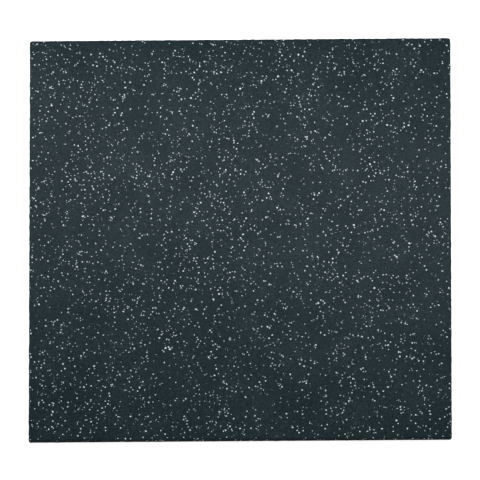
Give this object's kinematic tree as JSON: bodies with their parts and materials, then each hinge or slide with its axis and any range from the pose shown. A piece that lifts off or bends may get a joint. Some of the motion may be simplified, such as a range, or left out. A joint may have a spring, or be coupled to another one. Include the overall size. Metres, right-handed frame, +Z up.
{
  "type": "rubber gym floor tile",
  "caption": "Square flat gym floor tile of bonded rubber granules, dark slate with light flecks, with straight butt sides and slightly rounded edges.",
  "frame": {"origin": "centre of the flat underside, on the floor that the tile lies on", "axes": "+Z up out of the wear face; +X and +Y along the tile's sides"},
  "size_m": [1, 1, 0.015],
  "materials": {
    "bonded_rubber": "matte"
  },
  "bodies": {
    "root": {"rubber_tile": "bonded_rubber"}
  },
  "joints": []
}
